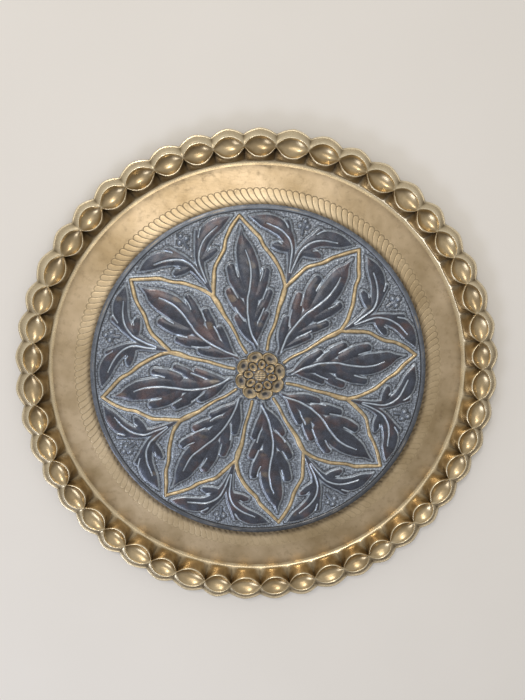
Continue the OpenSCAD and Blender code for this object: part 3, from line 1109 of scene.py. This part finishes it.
@dataclass
class FlowerRelief:
    """The whole chased design as one height function of x and y, in millimetres."""

    sizes: TraySizes
    petals: int = 8
    turn: float = 11.15
    leaf_h: float = 2.2
    spray_h: float = 1.9
    rib_h: float = 1.7
    vein_depth: float = 0.75
    punch_pitch: float = 2.1
    punch_depth: float = 0.34
    moat_depth: float = 0.34
    leaf: Acanthus = field(default_factory=Acanthus)
    spray: HalfSpray = field(default_factory=HalfSpray)
    ribs: PetalOutline = field(default_factory=PetalOutline)
    rosette: Rosette = field(default_factory=Rosette)

    @property
    def sector(self) -> float:
        """Angle of one petal in degrees."""
        return 360.0 / self.petals

    def folded(self, x: Array, y: Array, turn: float, count: int) -> tuple[Array, Array, Array]:
        """Brings every place into the first of several equal sectors.

        Args:
            x: places in millimetres.
            y: places in millimetres.
            turn: angle of the first sector's middle, in degrees anticlockwise from +Y.
            count: number of sectors.

        Returns:
            Place to the right of the sector's middle line, place along it, and sector number.
        """
        radius = np.hypot(x, y)
        angle = np.degrees(np.arctan2(-x, y)) - turn
        number = np.round(angle * count / 360.0)
        away = np.radians(number * 360.0 / count - angle)
        return radius * np.sin(away), radius * np.cos(away), number.astype(int) % count

    def strayed(self, x: Array, y: Array) -> tuple[Array, Array]:
        """Places moved by up to a millimetre, so that the hand-drawn motifs differ a little."""
        return (x + 0.75 * wander(x, y, 34.0, 51) + 0.2 * wander(x, y, 9.0, 53),
                y + 0.75 * wander(x, y, 34.0, 52) + 0.2 * wander(x, y, 9.0, 54))

    def leaf_shape(self, px: Array, py: Array) -> tuple[Array, Array, Array]:
        """Outline distance, height and vein distance of the leaf in the petal's own place."""
        parts = [self.leaf.body.distance(px, py)] + [f.distance(px, py) for f in self.leaf.fingers]
        outline = np.minimum.reduce(parts)
        domes = 0.7 * swell(outline, 8.5) + 0.3 * np.maximum.reduce([swell(p, 5.5) for p in parts])
        vein = np.minimum.reduce([v.distance(px, py) for v in (self.leaf.midrib, *self.leaf.veins)])
        height = self.leaf_h * (0.4 * smooth(-outline, 0.0, 1.1) + 0.6 * domes)
        return outline, height, vein

    def spray_shape(self, vx: Array, vy: Array) -> tuple[Array, Array, Array]:
        """Outline distance, height and vein distance of a spray in the valley's own place."""
        halves = (self.spray, self.spray.mirrored())
        parts = [s.distance(vx, vy) for half in halves for s in (half.body, *half.fingers)]
        outline = np.minimum.reduce(parts)
        domes = 0.6 * swell(outline, 7.0) + 0.4 * np.maximum.reduce([swell(p, 5.5) for p in parts])
        vein = np.minimum.reduce([s.distance(vx, vy) for half in halves for s in (half.midrib, *half.veins)])
        height = self.spray_h * (0.5 * smooth(-outline, 0.0, 1.2) + 0.5 * domes)
        return outline, height, vein

    def flower_shape(self, vx: Array, vy: Array) -> tuple[Array, Array]:
        """Outline distance and height of the three balls and the stalk between two half leaves."""
        ball_r = 2.5
        places = ((-2.2, 166.3), (6.0, 166.6), (2.1, 171.4))
        balls = [np.hypot(vx - ball_x, vy - ball_y) - ball_r for ball_x, ball_y in places]
        stalk = Stroke(((2.6, 157.5, 0.8), (2.0, 162, 1.0), (2.0, 167, 1.1))).distance(vx, vy)
        outline = np.minimum.reduce(balls + [stalk])
        height = np.maximum.reduce([1.4 * swell(b, 2.2) for b in balls] + [0.8 * swell(stalk, 1.0)])
        return outline, height

    def rib_shape(self, vx: Array, vy: Array) -> tuple[Array, Array]:
        """Outline distance and height of the ribs in the valley's own place."""
        half = self.sector / 2.0
        sides = (self.ribs.left.turned(half), self.ribs.right.turned(-half), self.ribs.valley)
        outline = np.minimum.reduce([s.distance(vx, vy) for s in sides])
        round_top = np.power(swell(outline, 2.1), 0.75)
        return outline, self.rib_h * round_top

    def rosette_shape(self, x: Array, y: Array) -> list[tuple[Array, Array, Array]]:
        """Outline distance, height and slot of the outer petals, the inner petals and the button."""
        design = self.rosette
        found = []
        for turn, at, half in ((design.outer_turn, design.outer_at, design.outer_half),
                               (design.inner_turn, design.inner_at, design.inner_half)):
            qx, qy, _ = self.folded(x, y, turn, design.petals)
            share = np.hypot(qx / half[0], (qy - at) / half[1])
            outline = (share - 1.0) * min(half)
            loop = ridge(outline + 1.2, 0.9)
            slot = smooth(0.4 - share, 0.0, 0.25)
            height = 1.4 * loop * smooth(-outline, 0.0, 0.6) + 0.75 * smooth(-outline, 0.0, 0.8) - 0.5 * slot
            found.append((outline, height, slot))
        radius = np.hypot(x, y)
        weave = 0.4 * np.sin(x * 1.6 + 0.8 * np.sin(y * 1.1)) + 0.9 * np.sin(y * 2.5 + 0.5 * np.sin(x * 0.9))
        button = radius - design.button_r
        top = 1.5 * swell(button, 2.6) + 0.3 * weave * smooth(-button, 0.8, 2.0)
        found.append((button, top, smooth(-weave, 0.0, 0.8) * smooth(-button, 0.3, 1.0)))
        outer, inner, middle = found
        inner = (np.maximum(inner[0], design.gap - middle[0]), *inner[1:])
        clear = [design.gap - inner[0], design.gap - middle[0]]
        outer = (np.maximum.reduce([outer[0], *clear]), *outer[1:])
        return [outer, inner, middle]

    def at(self, x: Array, y: Array) -> Relief:
        """Works out the relief at every place.

        The motif whose outline is nearest decides; outside every outline lies the punched ground,
        pressed down a little along each outline.

        Args:
            x: places in millimetres.
            y: places in millimetres.

        Returns:
            The relief of all places.
        """
        sx, sy = self.strayed(x, y)
        px, py, _ = self.folded(sx, sy, self.turn, self.petals)
        vx, vy, _ = self.folded(sx, sy, self.turn + self.sector / 2.0, self.petals)
        leaf, leaf_z, leaf_vein = self.leaf_shape(px, py)
        spray, spray_z, spray_vein = self.spray_shape(vx, vy)
        rib, rib_z = self.rib_shape(vx, vy)
        flower, flower_z = self.flower_shape(vx, vy)
        outer, inner, button = self.rosette_shape(sx, sy)
        none = np.full(x.shape, 1e3)
        outlines = np.stack([none, rib, leaf, spray, flower, outer[0], inner[0], button[0]])
        owner = outlines.argmin(axis=0)
        outline = outlines.min(axis=0)
        inside = outline < 0.0
        leafy = inside & np.isin(owner, (Motif.LEAF, Motif.SPRAY))
        heights = np.stack([0 * x, rib_z, leaf_z, spray_z, flower_z, outer[1], inner[1], button[1]])
        raised = np.take_along_axis(heights, owner[None], axis=0)[0]
        vein = np.where(owner == Motif.LEAF, leaf_vein, spray_vein)
        groove = ridge(np.maximum(vein + 0.2, 0.0), 0.5) * leafy * smooth(-outline, 0.2, 1.4)
        hammered = 1.0 + 0.035 * wander(x, y, 7.0, 61, 12)
        pits = punched(x, y, self.punch_pitch, 62) * smooth(outline, 0.3, 1.6)
        moat = ridge(outline - 0.9, 0.9)
        lifted = raised * hammered - self.vein_depth * groove
        sunk = self.punch_depth * pits + self.moat_depth * moat * (outline > 0.0)
        ground = 0.12 * wander(x, y, 6.0, 63) - sunk
        edge = smooth(self.sizes.ground_r - np.hypot(x, y), 0.0, 1.5)
        height = np.where(inside, lifted, ground * smooth(outline, 0.0, 0.7) * edge)
        # painted shade on the dark side of each vein
        beside = leafy * ridge(vein - 1.1, 0.6) * smooth(-outline, 0.2, 1.4)
        values = self.paint(x, y, owner, outline, inside, groove, pits, height, (outer, inner, button))
        values["grime"] = np.clip(values["grime"] + 0.35 * beside, 0.0, 1.0)
        return Relief(height, owner, outline, values)

    def paint(self, x: Array, y: Array, owner: Array, outline: Array, inside: Array, groove: Array,
              pits: Array, height: Array, rosette: tuple) -> dict[str, Array]:
        """Where the blackened skin gets painted highlights, partly real polish, is rubbed through to brass,
        or is darkened by dirt, patina and painted shade.

        Args:
            x: places in millimetres.
            y: places in millimetres.
            owner: motif of each place.
            outline: distance to the motif's outline, negative inside it.
            inside: whether a place lies inside an outline.
            groove: depth of the vein's groove, from 0 to 1.
            pits: depth of the punch marks, from 0 to 1.
            height: height over the sheet in millimetres.
            rosette: outline distance, height and slot of the rosette's two rings and its button.

        Returns:
            The painted values by name, each from 0 to 1.
        """
        leafy = inside & np.isin(owner, (Motif.LEAF, Motif.SPRAY))
        patches = wander(x, y, 13.0, 71)
        fine = wander(x, y, 2.5, 72, 12)
        # painted highlight along the edges and veins of leaves and sprays, partly real polish
        lip = ridge(outline + 0.45, 0.7)
        polish = leafy * np.clip(1.7 * lip + groove, 0.0, 1.0)
        # painted highlight on the ground beside the ribs
        polish += ~inside * (owner == Motif.OUTLINE) * 0.75 * ridge(outline - 1.2, 1.3)
        # painted glints on the ground between the punch marks
        polish += ~inside * 0.4 * np.clip(1.0 - 1.6 * pits, 0.0, 1.0) * smooth(outline, 0.8, 1.8)
        # painted highlight on top of the trefoil balls
        polish += (owner == Motif.FLOWER) * inside * 0.5 * smooth(height, 0.8, 1.3)
        bare = leafy * smooth(height, 1.3, 1.8) * smooth(patches, 0.9, 1.5) * 0.2
        ribs = (owner == Motif.OUTLINE) * inside * smooth(height + 0.15 * fine, 0.05, 0.55)
        rose = np.isin(owner, (Motif.ROSETTE_OUTER, Motif.ROSETTE_INNER)) & inside
        loops = rose * smooth(height + 0.1 * fine, 0.3, 1.3)
        woven = (owner == Motif.BUTTON) * inside * (0.8 - 0.7 * rosette[2][2])
        foot = (owner == Motif.OUTLINE) * inside * (1.0 - smooth(height, 0.0, 0.3)) * 0.4
        slots = 0.6 * rose * np.where(owner == Motif.ROSETTE_OUTER, rosette[0][2], rosette[1][2])
        # dark line outside each outline: patina in the chased groove and painted shade
        moat = ~inside * ridge(outline - 1.1, 0.7) * np.where(owner == Motif.OUTLINE, 0.15, 0.7)
        grime = np.clip(foot + slots + moat + 0.5 * pits * ~inside, 0.0, 1.0)
        return {"polish": polish, "rub": np.clip(bare + ribs + loops + woven, 0.0, 1.0), "grime": grime}


# ---- Medallion ------------------------------------------------------------------------------


@dataclass
class Medallion:
    """Round chased plate, cut along its outlines into the ground, ribs, leaves, sprays and rosette."""

    sizes: TraySizes
    spacing: float = 0.6
    back_share: float = 0.85

    def __post_init__(self) -> None:
        """Sets up the design."""
        self.design = FlowerRelief(self.sizes)

    def grid(self) -> tuple[Array, Array]:
        """Even square grid over the medallion, with points near an outline moved onto it.

        A point less than half a step from an outline or from the edge circle goes straight
        towards it, by its distance along the distance's gradient.
        """
        reach = self.spacing * math.ceil(self.sizes.ground_r / self.spacing + 1.0)
        count = round(2.0 * reach / self.spacing) + 1
        x, y = np.meshgrid(*[np.linspace(-reach, reach, count)] * 2)
        outline = self.design.at(x, y).outline
        down, right = np.gradient(outline, self.spacing)
        steep = np.maximum(right**2 + down**2, 0.25)
        near = np.abs(outline) < 0.5 * self.spacing * np.sqrt(steep)
        x = np.where(near, x - outline * right / steep, x)
        y = np.where(near, y - outline * down / steep, y)
        radius = np.maximum(np.hypot(x, y), 1e-6)
        edge = np.abs(radius - self.sizes.ground_r) < 0.5 * self.spacing
        scale = np.where(edge, self.sizes.ground_r / radius, 1.0)
        return x * scale, y * scale

    def triangles(self, outline: Array) -> Array:
        """Two triangles per grid cell, split along the diagonal that an outline follows."""
        rows, columns = outline.shape
        index = np.arange(rows * columns).reshape(rows, columns)
        a, b, c, d = index[:-1, :-1], index[:-1, 1:], index[1:, 1:], index[1:, :-1]
        flat = np.abs(outline)
        cross = (flat[:-1, 1:] + flat[1:, :-1]) < (flat[:-1, :-1] + flat[1:, 1:])
        first = np.where(cross[..., None], np.stack([a, b, d], -1), np.stack([a, b, c], -1))
        second = np.where(cross[..., None], np.stack([b, c, d], -1), np.stack([a, c, d], -1))
        return np.concatenate([first.reshape(-1, 3), second.reshape(-1, 3)])

    def build(self, ground: bpy.types.Material) -> None:
        """Builds every piece of the medallion and dresses it.

        Args:
            ground: the finish of the punched ground.
        """
        x, y = self.grid()
        relief = self.design.at(x, y)
        faces = self.triangles(relief.outline)
        place = np.stack([x.ravel(), y.ravel()], axis=1)
        centres = place[faces].mean(axis=1)
        kept = np.hypot(centres[:, 0], centres[:, 1]) < self.sizes.ground_r - 0.02
        faces = faces[kept]
        sx, sy = self.design.strayed(centres[kept, 0], centres[kept, 1])
        turn, sector, petals = self.design.turn, self.design.sector, self.design.petals
        petal = self.design.folded(sx, sy, turn, petals)[2]
        valley = self.design.folded(sx, sy, turn + sector / 2.0, petals)[2]
        outline = relief.outline.ravel()[faces]
        nearest = outline.argmin(axis=1)
        owner = np.take_along_axis(relief.owner.ravel()[faces], nearest[:, None], axis=1)[:, 0]
        owner = np.where(outline.mean(axis=1) < 0.0, owner, Motif.GROUND)
        z_top = self.sizes.sheet + relief.height.ravel()
        z_low = np.maximum(0.0, self.back_share * relief.height.ravel())
        top, bottom = np.column_stack([place, z_top]), np.column_stack([place, z_low])
        values = {name: value.ravel() for name, value in relief.values.items()}
        leaf = DarkenedBrass(Darkening.LEAF, roughness=0.3, glint_share=0.1, copper_share=0.35).build()
        metal = DarkenedBrass(Darkening.RELIEF, skin="#5A564F", glint_share=0.1, wax=0.3).build()

        def cut(name: str, chosen: Array, finish: bpy.types.Material, slot: str, node: str) -> None:
            """Cuts the chosen triangles out as one piece."""
            build_piece(name, sheet_skin(top, bottom, faces[chosen], values), finish, [node])

        for k in range(petals):
            cut(f"ground_{k + 1}", (owner == Motif.GROUND) & (petal == k), ground, "matted_patina",
                "medallion_ground")
            cut(f"chased_leaf_{k + 1}", (owner == Motif.LEAF) & (petal == k), leaf, "leaf_patina",
                f"leaf_{k + 1}")
            cut(f"chased_spray_{k + 1}", (owner == Motif.SPRAY) & (valley == k), leaf, "leaf_patina",
                f"spray_{k + 1}")
        cut("petal_ribs", owner == Motif.OUTLINE, metal, "relief_brass", "petal_outlines")
        cut("trefoils", owner == Motif.FLOWER, ground, "matted_patina", "corner_flowers")
        cut("rosette_outer_petals", owner == Motif.ROSETTE_OUTER, metal, "relief_brass", "rosette_outer")
        cut("rosette_inner_petals", owner == Motif.ROSETTE_INNER, metal, "relief_brass", "rosette_inner")
        cut("woven_button", owner == Motif.BUTTON, metal, "relief_brass", "rosette_button")


# ---- Studio ---------------------------------------------------------------------------------


@dataclass
class Studio:
    """Pale floor, soft lights and the camera."""

    sizes: TraySizes
    floor_side: float = 6.0
    floor_drop: float = 0.0001
    tilt: tuple[float, float, float] = (10.37, 2.80, -4.00)
    camera_at: tuple[float, float, float] = (-0.0413, 0.1512, 0.6837)
    lens: float = 32.97
    room_dark: str = "#645D57"
    room_light: str = "#D0CDC9"

    def floor(self) -> None:
        """Large square of matt paint, a hair below the tray."""
        half = self.floor_side / 2.0
        mesh = bpy.data.meshes.new("studio_floor")
        low = -self.floor_drop
        corners = [(-half, -half, low), (half, -half, low), (half, half, low), (-half, half, low)]
        mesh.from_pydata(corners, [], [(0, 1, 2, 3)])
        mesh.materials.append(StudioPaint().build())
        plane = bpy.data.objects.new("studio_floor", mesh)
        bpy.context.scene.collection.objects.link(plane)

    def softbox(self, name: str, place: Sequence[float], size: Sequence[float], power: float,
                colour: str) -> None:
        """Rectangular lamp that looks at the tray.

        Args:
            name: the lamp's name.
            place: where it hangs, in metres.
            size: width and height in metres.
            power: power in watts.
            colour: sRGB hex colour of its light.
        """
        lamp = bpy.data.lights.new(name, "AREA")
        lamp.shape = "RECTANGLE"
        lamp.size, lamp.size_y = size
        lamp.energy = power
        lamp.color = linear(colour)[:3]
        holder = bpy.data.objects.new(name, lamp)
        holder.location = place
        holder.rotation_euler = (-Vector(place)).to_track_quat("-Z", "Y").to_euler()
        bpy.context.scene.collection.objects.link(holder)

    def lights(self) -> None:
        """Pale room, brightest overhead and darkest low in front, a window, a lamp and a cool fill."""
        world = bpy.data.worlds.new("studio")
        bpy.context.scene.world = world
        world.use_nodes = True
        tree = world.node_tree
        way = add(tree, "TexCoord").outputs["Generated"]
        to_light = add(tree, "VectorMath", {0: way, 1: (-0.15, 0.45, 0.88)}, operation="DOT_PRODUCT")
        amount = spread(tree, to_light.outputs["Value"], -0.15, 0.6)
        room = blend(tree, amount, linear(self.room_dark), linear(self.room_light))
        tree.links.new(room, tree.nodes["Background"].inputs[0])
        self.softbox("window", (-0.12, 0.3, 1.9), (0.7, 0.5), 3.4, "#FFF6EA")
        self.softbox("lamp", (-0.5, 0.9, 1.6), (0.25, 0.25), 7.0, "#FFF8EE")
        self.softbox("fill", (-0.9, -1.3, 1.2), (0.8, 0.5), 9.0, "#E2EAFF")

    def camera(self) -> None:
        """Camera nearly straight above the tray, tipped a little as the tray is seen."""
        data = bpy.data.cameras.new("camera")
        data.lens = self.lens
        data.clip_start, data.clip_end = 0.01, 50.0
        eye = bpy.data.objects.new("camera", data)
        x_tilt, y_tilt, z_tilt = (math.radians(a) for a in self.tilt)
        turn = (Matrix.Rotation(x_tilt, 4, "X") @ Matrix.Rotation(y_tilt, 4, "Y")
                @ Matrix.Rotation(z_tilt, 4, "Z"))
        eye.matrix_world = Matrix.Translation(self.camera_at) @ turn.transposed()
        bpy.context.scene.collection.objects.link(eye)
        bpy.context.scene.camera = eye

    def build(self) -> None:
        """Builds floor, lights and camera."""
        self.floor()
        self.lights()
        self.camera()
        bpy.context.scene.view_settings.view_transform = "Standard"


def main() -> None:
    """Builds the studio and then the tray, from the rim inwards."""
    logging.basicConfig(level=logging.INFO, format="%(name)s: %(message)s")
    sizes = TraySizes.from_frame()
    Studio(sizes).build()
    ground = DarkenedBrass(Darkening.GROUND, skin="#666E7A", skin_light="#8891A0", roughness=0.4,
                           glint_share=0.8).build()
    ScallopedRim(sizes).build()
    FloorBands(sizes).build(ground)
    Medallion(sizes).build(ground)


if __name__ == "__main__":
    main()
